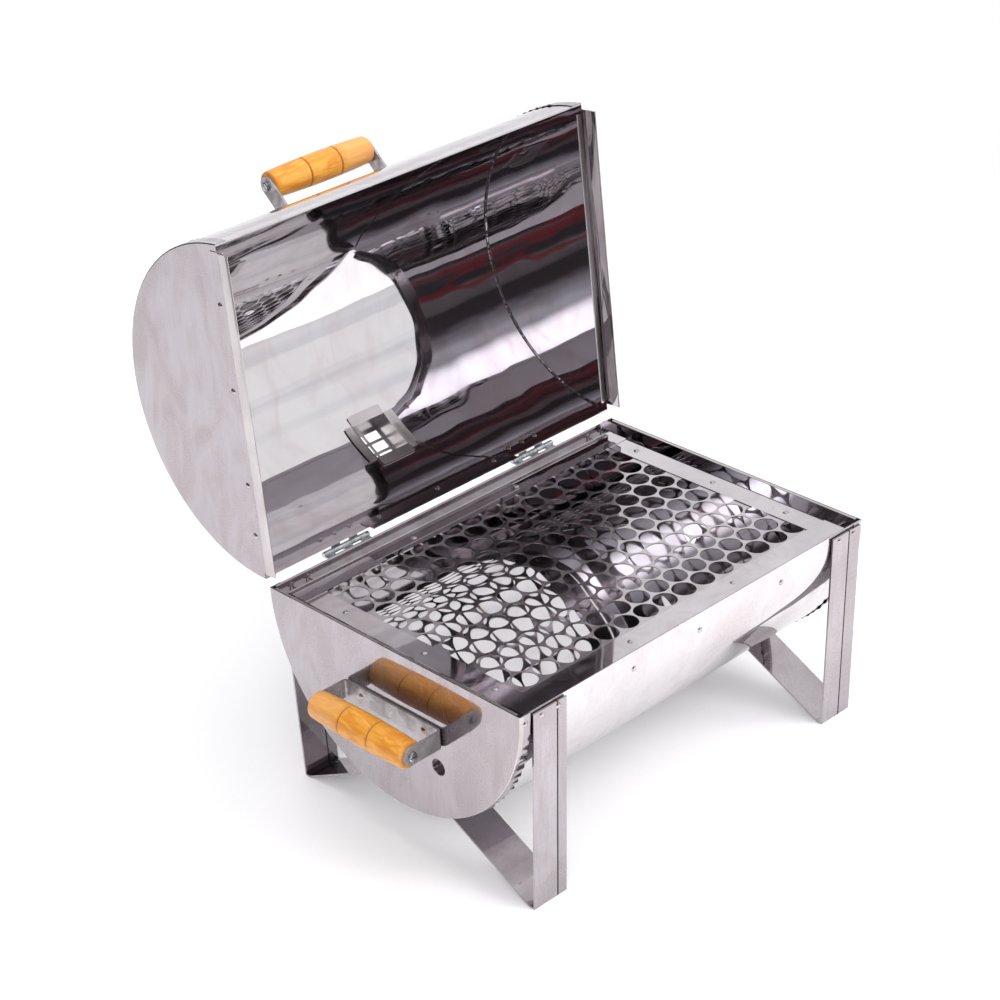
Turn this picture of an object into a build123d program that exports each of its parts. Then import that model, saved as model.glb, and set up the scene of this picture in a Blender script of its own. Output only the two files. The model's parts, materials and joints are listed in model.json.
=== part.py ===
from build123d import *
from math import asin, cos, degrees, radians, sin, sqrt
import os

# A portable barrel charcoal barbecue in thin stainless sheet. A half-cylinder trough stands on four
# bent-strip legs, a half-cylinder lid is hinged along its back edge, and a perforated grate lies on two
# ledges inside. Everything is built about the barrel's axis: X along the barrel, +Y to the hinge side,
# Z = 0 at the trough's rim. The lid is built shut and is then turned open about the hinge line.

os.makedirs("parts", exist_ok=True)

# Driving dimensions, in millimetres and degrees.
# Barrel
barrel_radius = 178.6      # outside of the trough's skin
trough_length = 499.0      # over the outer faces of the trough's end plates
sheet = 0.8                # thickness of every skin, plate and strip
touch = 0.02               # air between pieces that bear on each other
rim_height = 233.0         # rim above the ground
flange_width = 14.0        # end plates' flange, folded over the outside of the skin
hem_width = 3.5            # end plates' top edge, folded inwards
air_hole_radius = 9.25
air_hole_y = 61.0
air_hole_depth = 108.6     # below the rim
# Lid
lid_length = 500.0
lid_depth = 172.0          # from the opening plane to the crown
lid_gap = 1.0              # between the rim and the shut lid
lid_open_angle = 94.25
lid_hem = 10.0             # doubled front edge of the lid's skin
lid_end_hem = 7.5          # lid end plates' bottom edge, folded inwards
lip_low = 19.0             # end lips, past the opening plane
lip_high = 9.0             # end lips, on the lid's side of the opening plane
lip_inset = 7.0            # from the lid's corners
lip_fold = 14.5            # doubled free edge of a lip
lip_rivet_from_hinge = (47.0, 103.0, 205.0, 295.0)
back_strip_x = (-111.5, 99.5)
back_strip_low = 10.0
back_strip_high = 12.0
back_strip_rivet_x = (-90.0, -6.0, 78.0)
vent_angle = 37.0          # above the hinge side's horizontal, about the lid's axis
vent_opening = 45.0
vent_reach = 24.0          # duct outside the skin
vent_flange = 11.0
vent_bar = 3.0
lid_handle_angle = 136.0
# Hinges
hinge_y = 185.0
hinge_z = 2.0
hinge_centres_x = (-142.0, 130.0)
hinge_width = 60.0
hinge_knuckles = 5
knuckle_gap = 0.3
knuckle_radius = 3.0
leaf_thickness = 1.2
leaf_height = 26.0
pin_radius = 1.5
pin_clearance = 0.05
hinge_rivet_spacing = 20.0
# Legs
leg_width = 44.0
leg_thickness = 2.0
leg_top = 3.0              # below the rim
leg_lean = 2.64            # from the vertical
foot_flat = 6.0
belly_y = 50.0             # where the leg's inner end meets the belly
belly_tab = 27.0
left_leg_x = -212.0
right_leg_x = 222.0
leg_seam_width = 0.8
leg_seam_depth = 0.6
left_seam_offset = 9.75    # from the strip's middle
right_seam_offset = 4.25
# Handles
bracket_length = 140.0
bracket_width = 20.0
bracket_thickness = 2.5
grip_standoff = 40.0
grip_radius = 16.5
grip_end_radius = 14.8
grip_rounding = 3.0
grip_groove_at = 21.0
grip_groove_radius = 1.4
end_handle_depth = 71.5    # below the rim
bracket_rivet_at = 45.0
screw_radius = 2.2
screw_length = 22.0
screw_head_radius = 5.0
screw_head_height = 3.0
# Grate
grate_length = 470.0
grate_width = 337.0
grate_top = 8.0            # below the rim
grate_strip = 27.0
grate_hole_radius = 12.85
grate_pitch = 28.0
grate_first_hole = (-6.5, -3.3)
left_strip_rivet_y = (-117.0, -19.0, 96.0)
right_strip_rivet_y = (-100.0, 2.0, 114.0)
long_strip_rivet_x = (-75.0, 75.0)
ledge_reach = 15.0
ledge_drop = 19.0
ledge_thickness = 1.0
ledge_length = 480.0
front_ledge_rivet_x = (-94.5, 0.0, 123.0)
back_ledge_rivet_x = (-85.0, 0.0, 80.0)
ledge_rivet_depth = 20.0
# Rivets
rivet_radius = 1.6
rivet_head_radius = 3.2
rivet_head_height = 1.5
rivet_tail_radius = 2.8
rivet_tail_height = 0.8
rivet_clearance = 0.05
tail_clearance = 0.3       # round rivet tails that a ledge passes over

# Sizes that follow from them.
inner_radius = barrel_radius - sheet
flange_radius = barrel_radius + touch
leg_radius = flange_radius + sheet + touch
half_trough = trough_length / 2
half_lid = lid_length / 2
lid_radius = (barrel_radius ** 2 + lid_depth ** 2) / (2 * lid_depth)
lid_centre_z = lid_gap - (lid_radius - lid_depth)
lid_inner_radius = lid_radius - sheet
grate_sheet_z = -grate_top - 3 * sheet
row_spacing = grate_pitch * sqrt(3) / 2

nodes = {}


def extrude_x(face, x_low, x_high):
    """Extrude a face drawn in (Y, Z) along X."""
    return extrude(Plane.YZ.offset(x_low) * face, amount=x_high - x_low)


def band_face(inner, outer, start, end):
    """A ring sector; angles run from +Y towards +Z."""
    outside = CenterArc((0, 0), outer, start, end - start)
    inside = CenterArc((0, 0), inner, start, end - start)
    return make_face([outside, inside, Line(outside @ 0, inside @ 0), Line(outside @ 1, inside @ 1)])


def band(inner, outer, start, end, x_low, x_high, centre_z=0.0):
    """A strip curved about a line along X."""
    return Pos(0, 0, centre_z) * extrude_x(band_face(inner, outer, start, end), x_low, x_high)


def block(x_low, x_high, y_low, y_high, z_low, z_high):
    size = Box(x_high - x_low, y_high - y_low, z_high - z_low)
    return Pos((x_low + x_high) / 2, (y_low + y_high) / 2, (z_low + z_high) / 2) * size


def cut_disc(radius, centre_z, edge_z, side):
    """The part of a disc above (side = 1) or below (side = -1) a straight edge."""
    keep = Pos(0, edge_z + side * radius) * Rectangle(3 * radius, 2 * radius)
    return (Pos(0, centre_z) * Circle(radius)) & keep


def drop_angle(drop, radius):
    """Angle about the axis of a point a given distance below it on a circle."""
    return degrees(asin(drop / radius))


def seat(x, radius, angle, centre_z=0.0):
    """Where a fastener's head sits on a cylinder about X, its axis pointing outwards."""
    across = cos(radians(angle))
    up = sin(radians(angle))
    return Plane(origin=(x, radius * across, centre_z + radius * up), z_dir=(0, across, up)).location


def end_seat(face_x, y, z):
    """Where a fastener's head sits on an end plate, its axis pointing away from the barrel."""
    return Plane(origin=(face_x, y, z), z_dir=(1 if face_x > 0 else -1, 0, 0)).location


def drill(piece, seats, radius=rivet_radius + rivet_clearance, depth=12.0):
    """Cut a hole down each seat's axis."""
    for place in seats:
        piece -= place * Pos(0, 0, 2 - depth / 2) * Cylinder(radius, depth)
    return piece


def rivet(grip):
    """A domed rivet along Z: its head sits at Z = 0 and its flat tail at -grip."""
    sphere = (rivet_head_radius ** 2 + rivet_head_height ** 2) / (2 * rivet_head_height)
    half = asin(rivet_head_radius / sphere) / 2
    crown = (0, rivet_head_height)
    shoulder = (sphere * sin(half), rivet_head_height - sphere + sphere * cos(half))
    dome = ThreePointArc(crown, shoulder, (rivet_head_radius, 0))
    tail_end = -grip - rivet_tail_height
    shank = Polyline(
        (rivet_head_radius, 0),
        (rivet_radius, 0),
        (rivet_radius, -grip),
        (rivet_tail_radius, -grip),
        (rivet_tail_radius, tail_end),
        (0, tail_end),
        crown,
    )
    return revolve(Plane.XZ * make_face([dome, *shank.edges()]), axis=Axis.Z)


def rivets(seats, grip, proud=0.04):
    """One rivet on each seat, its head and tail just clear of the curved sheet."""
    pattern = Pos(0, 0, proud) * rivet(grip + 2 * proud)
    return Compound(children=[place * pattern for place in seats])


# --- Trough -----------------------------------------------------------------------------------------------


def trough_end_plate():
    """The right-hand plate: half disc, flange over the skin, hem along the top and two air holes."""
    outer = flange_radius + sheet
    plate = extrude_x(cut_disc(outer, 0, 0, -1), half_trough - sheet, half_trough)
    plate += band(flange_radius, outer, 180, 360, half_trough - flange_width, half_trough)
    hem_reach = inner_radius - 2 * sheet
    hem_start = half_trough - sheet - hem_width
    plate += block(hem_start, half_trough - sheet, -hem_reach, hem_reach, -sheet, 0)
    for side in (-1, 1):
        drilling = Plane(origin=(half_trough, side * air_hole_y, -air_hole_depth), z_dir=(1, 0, 0)).location
        plate -= drilling * Cylinder(air_hole_radius, 10 * sheet)
    return plate


def grate_ledge():
    """The back ledge: an angle with one leg on the wall and one pointing inwards."""
    outer = inner_radius - touch
    inner = outer - ledge_thickness
    top = grate_sheet_z - touch
    start = -drop_angle(-top + ledge_drop, outer)
    end = -drop_angle(-top, outer)
    wall_leg = band(inner, outer, start, end, -ledge_length / 2, ledge_length / 2)
    shelf_low = inner * cos(radians(end)) - ledge_reach
    shelf_high = inner * cos(radians(end)) + ledge_thickness / 2
    shelf = block(-ledge_length / 2, ledge_length / 2, shelf_low, shelf_high, top - ledge_thickness, top)
    return wall_leg + shelf


def front(shape):
    """The mirror image of a back piece, on the front of the barrel."""
    return mirror(shape, about=Plane.XZ)


def left(shape):
    """The mirror image of a right-hand piece."""
    return mirror(shape, about=Plane.YZ)


def build_trough():
    skin_reach = half_trough - sheet - touch
    skin = band(inner_radius, barrel_radius, 180, 360, -skin_reach, skin_reach)
    end = trough_end_plate()
    ledge_angle = drop_angle(ledge_rivet_depth, barrel_radius)
    front_seats = [seat(x, barrel_radius, 180 + ledge_angle) for x in front_ledge_rivet_x]
    back_seats = [seat(x, barrel_radius, -ledge_angle) for x in back_ledge_rivet_x]
    back_ledge = grate_ledge()
    skin = drill(skin, front_seats + back_seats + leg_seats() + belly_seats() + lower_leaf_seats())
    corner_x = flange_width / 2 - half_trough
    corner_angle = drop_angle(10, barrel_radius)
    corners = [seat(corner_x, flange_radius + sheet, angle) for angle in (-corner_angle, 180 + corner_angle)]
    leg_holes = leg_seats() + belly_seats()
    nodes["trough_skin"] = drill(skin, corners)
    nodes["left_end_plate"] = drill(left(end), corners + leg_holes + bracket_seats(end_handle_place(-1)))
    nodes["right_end_plate"] = drill(end, leg_holes + bracket_seats(end_handle_place(1)))
    passed_over = leg_seats() + corners + lower_leaf_seats()
    tail_hole = rivet_tail_radius + tail_clearance
    nodes["front_grate_ledge"] = drill(drill(front(back_ledge), front_seats), passed_over, tail_hole)
    nodes["back_grate_ledge"] = drill(drill(back_ledge, back_seats), passed_over, tail_hole)
    nodes["ledge_rivets"] = rivets(front_seats + back_seats, sheet + touch + ledge_thickness)
    nodes["corner_rivets"] = rivets(corners, 2 * sheet + touch)


# --- Legs -------------------------------------------------------------------------------------------------


def leg_line(z, offset):
    """Y of a line along the leaning strip, a given distance outside the strip's inner face."""
    lean = radians(leg_lean)
    return (leg_radius + offset + z * sin(lean)) / cos(lean)


def strip_face(start, end, thickness):
    """A straight bar between two points, drawn in (Y, Z), with the line along its middle."""
    run = Vector(*end) - Vector(*start)
    across = Vector(-run.Y, run.X).normalized() * (thickness / 2)
    first = Vector(*start)
    last = Vector(*end)
    corners = [first + across, last + across, last - across, first - across]
    return make_face(Polyline(*[(corner.X, corner.Y) for corner in corners], close=True).edges())


def leg_face():
    """The back leg in (Y, Z): down the side, round the foot and back up to the belly."""
    middle = leg_thickness / 2
    foot_z = middle - rim_height
    top = (leg_line(-leg_top, middle), -leg_top)
    heel = (leg_line(foot_z, middle), foot_z)
    toe = (heel[0] - foot_flat, foot_z)
    belly_angle = degrees(asin(belly_y / (leg_radius + middle)))
    belly = (belly_y, -(leg_radius + middle) * cos(radians(belly_angle)))
    tab_angle = degrees(belly_tab / leg_radius)
    face = strip_face(top, heel, leg_thickness) + strip_face(heel, toe, leg_thickness)
    face += strip_face(toe, belly, leg_thickness)
    face += [Pos(*bend) * Circle(middle) for bend in (heel, toe, belly)]
    face += band_face(leg_radius, leg_radius + leg_thickness, belly_angle - 90 - tab_angle, belly_angle - 90)
    return face


def back_leg(centre_x, seam_offset):
    """A leg with the seam of its folded strip showing on the outer face."""
    leg = extrude_x(leg_face(), centre_x - leg_width / 2, centre_x + leg_width / 2)
    seam_line = leg_thickness - leg_seam_depth / 2
    seam_top = (leg_line(0, seam_line), 0)
    seam_foot = (leg_line(-rim_height, seam_line), -rim_height)
    seam = strip_face(seam_top, seam_foot, leg_seam_depth + 2 * touch)
    seam_x = centre_x + seam_offset
    return leg - extrude_x(seam, seam_x - leg_seam_width / 2, seam_x + leg_seam_width / 2)


def leg_seats():
    """Two rivets at the top of each leg."""
    seats = []
    for centre_x in (left_leg_x, right_leg_x):
        for offset in (-leg_width / 4, leg_width / 4):
            for angle in (-leg_lean, 180 + leg_lean):
                seats.append(seat(centre_x + offset, leg_radius + leg_thickness, angle))
    return seats


def belly_seats():
    """Two rivets through each leg's inner tab."""
    seats = []
    tab_middle = degrees(belly_tab / leg_radius) / 2
    from_bottom = degrees(asin(belly_y / leg_radius)) - tab_middle
    for centre_x in (left_leg_x, right_leg_x):
        for offset in (-leg_width / 4, leg_width / 4):
            for angle in (270 - from_bottom, 270 + from_bottom):
                seats.append(seat(centre_x + offset, leg_radius + leg_thickness, angle))
    return seats


def build_legs():
    holes = leg_seats() + belly_seats()
    left_leg = back_leg(left_leg_x, left_seam_offset)
    right_leg = back_leg(right_leg_x, right_seam_offset)
    nodes["back_left_leg"] = drill(left_leg, holes)
    nodes["back_right_leg"] = drill(right_leg, holes)
    nodes["front_left_leg"] = drill(front(left_leg), holes)
    nodes["front_right_leg"] = drill(front(right_leg), holes)
    through = leg_radius + leg_thickness - inner_radius
    nodes["leg_rivets"] = rivets(leg_seats(), through)
    nodes["belly_rivets"] = rivets(belly_seats(), through)


# --- Handles ----------------------------------------------------------------------------------------------


def end_handle_place(side):
    """A handle's own frame on an end plate: X along the grip, Z away from the plate."""
    origin = (side * (half_trough + touch), 0, -end_handle_depth)
    return Plane(origin=origin, x_dir=(0, 1, 0), z_dir=(side, 0, 0)).location


def lid_handle_place():
    """The same frame on the shut lid's skin."""
    across = cos(radians(lid_handle_angle))
    up = sin(radians(lid_handle_angle))
    origin = (0, (lid_radius + touch) * across, lid_centre_z + (lid_radius + touch) * up)
    return Plane(origin=origin, x_dir=(1, 0, 0), z_dir=(0, across, up)).location


def bracket_seats(place):
    """Two rivets through a bracket's base."""
    return [place * Pos(side * bracket_rivet_at, 0, bracket_thickness) for side in (-1, 1)]


def screw_seats(place):
    """A screw at each end of a grip, its axis pointing away from the grip."""
    seats = []
    for side in (-1, 1):
        origin = (side * bracket_length / 2, 0, grip_standoff)
        seats.append(place * Plane(origin=origin, z_dir=(side, 0, 0)).location)
    return seats


def handle_bracket(place):
    """A flat bar bent into a U, with rounded ends."""
    half = bracket_length / 2
    outline = Polyline((-half, grip_standoff), (-half, 0), (half, 0), (half, grip_standoff))
    inset = half - bracket_thickness
    cut = Pos(0, grip_standoff / 2 + bracket_thickness) * Rectangle(2 * inset, grip_standoff)
    outer = make_face([*outline.edges(), Line(outline @ 1, outline @ 0)])
    outer = fillet(outer.vertices().group_by(Axis.Y)[0], 2 * bracket_thickness)
    cut = fillet(cut.vertices().group_by(Axis.Y)[0], bracket_thickness)
    bar = extrude(Plane.XZ * (outer - cut), amount=bracket_width / 2, both=True)
    for side in (-1, 1):
        middle = side * (half - bracket_thickness / 2)
        disc = Cylinder(bracket_width / 2, bracket_thickness, rotation=(0, 90, 0))
        bar += Pos(middle, 0, grip_standoff) * disc
    return place * bar


def handle_grip(place):
    """A turned wooden grip, barrelled, with two burnt grooves."""
    half = bracket_length / 2 - bracket_thickness - 0.2
    shoulder = half - grip_rounding
    end_radius = grip_end_radius - grip_rounding
    crown = ThreePointArc((-shoulder, grip_end_radius), (0, grip_radius), (shoulder, grip_end_radius))
    corner = grip_rounding * sin(radians(45))
    right_corner = ThreePointArc(
        (shoulder, grip_end_radius), (shoulder + corner, end_radius + corner), (half, end_radius)
    )
    left_corner = ThreePointArc(
        (-shoulder, grip_end_radius), (-shoulder - corner, end_radius + corner), (-half, end_radius)
    )
    ends = Polyline((half, end_radius), (half, 0), (-half, 0), (-half, end_radius))
    profile = make_face([crown, right_corner, left_corner, *ends.edges()])
    profile -= [Pos(side * grip_groove_at, grip_radius) * Circle(grip_groove_radius) for side in (-1, 1)]
    return place * Pos(0, 0, grip_standoff) * revolve(Plane.XZ * profile, axis=Axis.X)


def screw():
    """A pan-head screw along Z, its head on the bracket's arm."""
    head = Pos(0, 0, screw_head_height / 2) * Cylinder(screw_head_radius, screw_head_height)
    head = fillet(head.edges().group_by(Axis.Z)[-1], screw_head_height / 2)
    slot = Pos(0, 0, screw_head_height) * Box(2 * screw_head_radius, 1.2, 2.0)
    shank = Pos(0, 0, -screw_length / 2) * Cylinder(screw_radius, screw_length)
    return Pos(0, 0, touch) * (head - slot + shank)


def build_handle(prefix, place):
    """Bracket, grip, screws and rivets of one handle."""
    screws = screw_seats(place)
    bolt_hole = screw_radius + rivet_clearance
    bracket = drill(handle_bracket(place), bracket_seats(place))
    bracket = drill(bracket, screws, radius=bolt_hole)
    grip = drill(handle_grip(place), screws, radius=bolt_hole, depth=screw_length + 4)
    nodes[prefix + "_handle_bracket"] = bracket
    nodes[prefix + "_handle_grip"] = grip
    nodes[prefix + "_handle_screws"] = Compound(children=[spot * screw() for spot in screws])
    nodes[prefix + "_bracket_rivets"] = rivets(bracket_seats(place), bracket_thickness + touch + sheet)


# --- Hinges -----------------------------------------------------------------------------------------------


def knuckle_spans(centre_x, first):
    """The X spans of every second knuckle, starting with the given one."""
    pitch = hinge_width / hinge_knuckles
    start = centre_x - hinge_width / 2
    spans = []
    for index in range(first, hinge_knuckles, 2):
        spans.append((start + index * pitch + knuckle_gap / 2, start + (index + 1) * pitch - knuckle_gap / 2))
    return spans


def barrel_and_bridge(side, reach):
    """One knuckle in (Y, Z): a rolled barrel and the plate that joins it to the leaf on the skin."""
    tangent = hinge_z + side * knuckle_radius
    bridge_length = hinge_y - reach
    middle = (hinge_y - bridge_length / 2, tangent - side * leaf_thickness / 2)
    bridge = Pos(*middle) * Rectangle(bridge_length, leaf_thickness)
    barrel = Pos(hinge_y, hinge_z) * Circle(knuckle_radius)
    return bridge + barrel


def hinge_leaf(centre_x, side, first_knuckle, bore):
    """A leaf on the skin (side = -1 on the trough, 1 on the lid) with its knuckles."""
    low_x = centre_x - hinge_width / 2
    high_x = centre_x + hinge_width / 2
    radius = (barrel_radius if side < 0 else lid_radius) + touch
    centre_z = 0 if side < 0 else lid_centre_z
    near = hinge_z + side * (knuckle_radius - leaf_thickness) - centre_z
    far = hinge_z + side * leaf_height - centre_z
    angles = sorted(degrees(asin(height / radius)) for height in (near, far))
    leaf = band(radius, radius + leaf_thickness, *angles, low_x, high_x, centre_z)
    for span in knuckle_spans(centre_x, first_knuckle):
        leaf += extrude_x(barrel_and_bridge(side, radius + leaf_thickness / 2), *span)
    hole = extrude_x(Pos(hinge_y, hinge_z) * Circle(bore), low_x, high_x)
    return leaf - hole


def hinge_pin(centre_x):
    """A pin with a small head at each end, just longer than the hinge."""
    reach = hinge_width / 2 + 0.2
    pin = Cylinder(pin_radius, 2 * reach, rotation=(0, 90, 0))
    for side in (-1, 1):
        pin += Pos(side * (reach + 0.4), 0, 0) * Cylinder(knuckle_radius - 0.5, 0.8, rotation=(0, 90, 0))
    return Pos(centre_x, hinge_y, hinge_z) * pin


def leaf_rivet_xs():
    """X of the three rivets in each leaf."""
    steps = (-hinge_rivet_spacing, 0, hinge_rivet_spacing)
    return [centre + step for centre in hinge_centres_x for step in steps]


def lower_leaf_seats():
    radius = barrel_radius + touch + leaf_thickness
    return [seat(x, radius, -drop_angle(leaf_height / 2 + 2, radius)) for x in leaf_rivet_xs()]


def upper_leaf_seats():
    radius = lid_radius + touch + leaf_thickness
    height = hinge_z + leaf_height / 2 + 3 - lid_centre_z
    return [seat(x, radius, degrees(asin(height / radius)), lid_centre_z) for x in leaf_rivet_xs()]


def build_hinges():
    fixed_bore = pin_radius + touch
    running_bore = pin_radius + pin_clearance
    for name, centre_x in zip(("left", "right"), hinge_centres_x):
        lower = hinge_leaf(centre_x, -1, 0, fixed_bore)
        upper = hinge_leaf(centre_x, 1, 1, running_bore)
        nodes[name + "_hinge_lower_leaf"] = drill(lower, lower_leaf_seats())
        nodes[name + "_hinge_upper_leaf"] = drill(upper, upper_leaf_seats())
        nodes[name + "_hinge_pin"] = hinge_pin(centre_x)
    nodes["hinge_lower_rivets"] = rivets(lower_leaf_seats(), leaf_thickness + touch + sheet)
    nodes["hinge_upper_rivets"] = rivets(upper_leaf_seats(), leaf_thickness + touch + sheet)


# --- Lid, built shut --------------------------------------------------------------------------------------


def lid_end_plate():
    """The right-hand plate with its flange over the skin and a hem along the opening."""
    outer = lid_radius + touch + sheet
    start = degrees(asin((lid_gap - lid_centre_z) / outer))
    plate = extrude_x(cut_disc(outer, lid_centre_z, lid_gap, 1), half_lid - sheet, half_lid)
    flange_low = half_lid - flange_width
    plate += band(lid_radius + touch, outer, start, 180 - start, flange_low, half_lid, lid_centre_z)
    hem_reach = inner_radius - 3 * sheet
    hem_start = half_lid - sheet - lid_end_hem
    return plate + block(hem_start, half_lid - sheet, -hem_reach, hem_reach, lid_gap, lid_gap + sheet)


def lid_lip():
    """The right-hand lip: a strip on the end plate that laps over the trough's end."""
    reach = barrel_radius - lip_inset
    inside = half_lid + touch
    strip = block(inside, inside + sheet, -reach, reach, lid_gap - lip_low, lid_gap + lip_high)
    fold_top = lid_gap - lip_low + lip_fold
    return strip + block(inside + sheet, inside + 2 * sheet, -reach, reach, lid_gap - lip_low, fold_top)


def lip_seats(side):
    """The rivets along a lip, on its outer face."""
    ys = [barrel_radius - distance for distance in lip_rivet_from_hinge]
    return [end_seat(side * (half_lid + touch + sheet), y, lid_gap + lip_high / 2) for y in ys]


def lid_back_strip():
    """A strip between the hinges that hangs inside the trough's back wall when the lid is shut."""
    outer = lid_inner_radius - touch
    start = degrees(asin((lid_gap - lid_centre_z) / outer))
    end = degrees(asin((lid_gap + back_strip_high - lid_centre_z) / outer))
    curved = band(outer - sheet, outer, start, end, *back_strip_x, lid_centre_z)
    face_y = outer * cos(radians(start)) - 2 * sheet
    hanging = block(*back_strip_x, face_y, face_y + sheet, lid_gap - back_strip_low, lid_gap + sheet)
    joggle = block(*back_strip_x, face_y, face_y + 1.5 * sheet, lid_gap + sheet / 2, lid_gap + 2 * sheet)
    return curved + hanging + joggle


def back_strip_seats():
    height = lid_gap + back_strip_high * 0.6 - lid_centre_z
    return [seat(x, lid_radius, degrees(asin(height / lid_radius)), lid_centre_z) for x in back_strip_rivet_x]


def vent_place():
    """The duct's own frame on the lid's skin: X along the barrel, Z outwards."""
    return seat(0, lid_radius, vent_angle, lid_centre_z)


def square(side, z_low, z_high):
    return Pos(0, 0, (z_low + z_high) / 2) * Box(side, side, z_high - z_low)


def vent_duct():
    """A square tube through the skin, with four flanges on the inside."""
    outer = vent_opening + 2 * sheet
    sag = lid_radius - sqrt(lid_radius ** 2 - (outer / 2) ** 2)
    tube_low = -sag - 3 * sheet
    tube = square(outer, tube_low, vent_reach) - square(vent_opening, tube_low - 1, vent_reach + 1)
    tube = vent_place() * tube
    shell_outer = lid_inner_radius - touch
    spread = degrees(asin((outer / 2 + vent_flange) / shell_outer))
    half_width = outer / 2 + vent_flange
    shell = band(
        shell_outer - sheet, shell_outer, vent_angle - spread, vent_angle + spread,
        -half_width, half_width, lid_centre_z,
    )
    along = Box(outer, 2 * half_width + 10, 60)
    across = Box(2 * half_width + 10, outer, 60)
    cross = (vent_place() * (along + across)) & shell
    trimmed = tube - band(0.5 * lid_radius, shell_outer - sheet, 0, 180, -outer, outer, lid_centre_z)
    return cross - vent_place() * square(vent_opening, -20, 20) + trimmed


def vent_grid():
    """A plate with six windows, set inside the duct's outer end."""
    side = vent_opening - 2 * touch
    long_side = (vent_opening - 3 * vent_bar) / 2
    short_side = (vent_opening - 4 * vent_bar) / 3
    windows = []
    for column in (-1, 0, 1):
        for row in (-1, 1):
            x = column * (short_side + vent_bar)
            y = row * (long_side + vent_bar) / 2
            windows.append(Pos(x, y) * Rectangle(short_side, long_side))
    plate = extrude(Rectangle(side, side) - windows, amount=2 * sheet)
    return vent_place() * Pos(0, 0, vent_reach - 2 * sheet) * plate


def build_lid():
    skin_reach = half_lid - sheet - touch
    edge = degrees(asin((lid_gap - lid_centre_z) / lid_radius))
    skin = band(lid_inner_radius, lid_radius, edge, 180 - edge, -skin_reach, skin_reach, lid_centre_z)
    hem_angle = degrees(asin((lid_gap + lid_hem - lid_centre_z) / lid_radius))
    hem_inner = lid_inner_radius - sheet
    hem_outer = lid_inner_radius + touch
    skin += band(hem_inner, hem_outer, 180 - hem_angle, 180 - edge, -skin_reach, skin_reach, lid_centre_z)
    skin -= vent_place() * square(vent_opening + 2 * sheet + 2 * touch, -20, 20)
    skin = drill(skin, bracket_seats(lid_handle_place()) + upper_leaf_seats() + back_strip_seats())
    end = lid_end_plate()
    lip = lid_lip()
    nodes["lid_skin"] = skin
    nodes["lid_right_end_plate"] = drill(end, lip_seats(1))
    nodes["lid_left_end_plate"] = drill(left(end), lip_seats(-1))
    nodes["lid_right_lip"] = drill(lip, lip_seats(1))
    nodes["lid_left_lip"] = drill(left(lip), lip_seats(-1))
    nodes["lid_lip_rivets"] = rivets(lip_seats(1) + lip_seats(-1), 2 * sheet + touch)
    nodes["lid_back_strip"] = drill(lid_back_strip(), back_strip_seats())
    nodes["lid_strip_rivets"] = rivets(back_strip_seats(), 2 * sheet + touch)
    nodes["lid_vent_duct"] = vent_duct()
    nodes["lid_vent_grid"] = vent_grid()


# --- Grate ------------------------------------------------------------------------------------------------


def grate_rivet_seats():
    """Rivets on the long strips, and on the side strips, which lie one sheet lower."""
    z = grate_sheet_z + 3 * sheet
    side_x = (grate_length - grate_strip) / 2
    long_y = (grate_width - grate_strip) / 2
    long_seats = [Location((x, side * long_y, z)) for x in long_strip_rivet_x for side in (-1, 1)]
    left_seats = [Location((-side_x, y, z - sheet)) for y in left_strip_rivet_y]
    right_seats = [Location((side_x, y, z - sheet)) for y in right_strip_rivet_y]
    return long_seats, left_seats + right_seats


def steps_within(first, pitch, limit):
    """Positions first + n * pitch that lie between -limit and limit."""
    low = int(-(limit + first) / pitch)
    high = int((limit - first) / pitch)
    return range(low, high + 1)


def perforated_sheet():
    """Round holes in staggered rows; the outermost ones run under the frame strips."""
    reach_x = grate_length / 2 - grate_strip + grate_hole_radius / 2
    reach_y = grate_width / 2 - grate_strip + grate_hole_radius / 2
    first_x, first_y = grate_first_hole
    holes = []
    for row in steps_within(first_y, row_spacing, reach_y):
        start_x = first_x + (grate_pitch / 2 if row % 2 else 0)
        for column in steps_within(start_x, grate_pitch, reach_x):
            spot = (start_x + column * grate_pitch, first_y + row * row_spacing)
            holes.append(Pos(*spot) * Circle(grate_hole_radius))
    plate = Rectangle(grate_length, grate_width) - holes
    return Pos(0, 0, grate_sheet_z) * extrude(plate, amount=sheet)


def build_grate():
    low = grate_sheet_z + sheet + touch
    half_x = grate_length / 2
    half_y = grate_width / 2
    side_low = half_x - grate_strip
    long_seats, side_seats = grate_rivet_seats()
    side_strip = block(side_low, half_x, -half_y, half_y, low, low + sheet)
    upper = block(-half_x, half_x, half_y - grate_strip, half_y, low + sheet + touch, low + 2 * sheet)
    lower = block(-side_low + touch, side_low - touch, half_y - grate_strip, half_y, low, low + 1.5 * sheet)
    back_strip = upper + lower
    nodes["grate_sheet"] = drill(perforated_sheet(), long_seats + side_seats, depth=8.0)
    nodes["grate_right_strip"] = drill(side_strip, side_seats, depth=8.0)
    nodes["grate_left_strip"] = drill(left(side_strip), side_seats, depth=8.0)
    nodes["grate_back_strip"] = drill(back_strip, long_seats, depth=8.0)
    nodes["grate_front_strip"] = drill(front(back_strip), long_seats, depth=8.0)
    long_rivets = rivets(long_seats, 3 * sheet + touch)
    side_rivets = rivets(side_seats, 2 * sheet + touch)
    nodes["grate_rivets"] = Compound(children=[*long_rivets.solids(), *side_rivets.solids()])


# --- Whole ------------------------------------------------------------------------------------------------

build_lid()
build_handle("lid", lid_handle_place())
opening = Pos(0, hinge_y, hinge_z) * Rot(-lid_open_angle, 0, 0) * Pos(0, -hinge_y, -hinge_z)
for name in list(nodes):
    nodes[name] = opening * nodes[name]

build_hinges()
for name in ("left_hinge_upper_leaf", "right_hinge_upper_leaf", "hinge_upper_rivets"):
    nodes[name] = opening * nodes[name]

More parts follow.
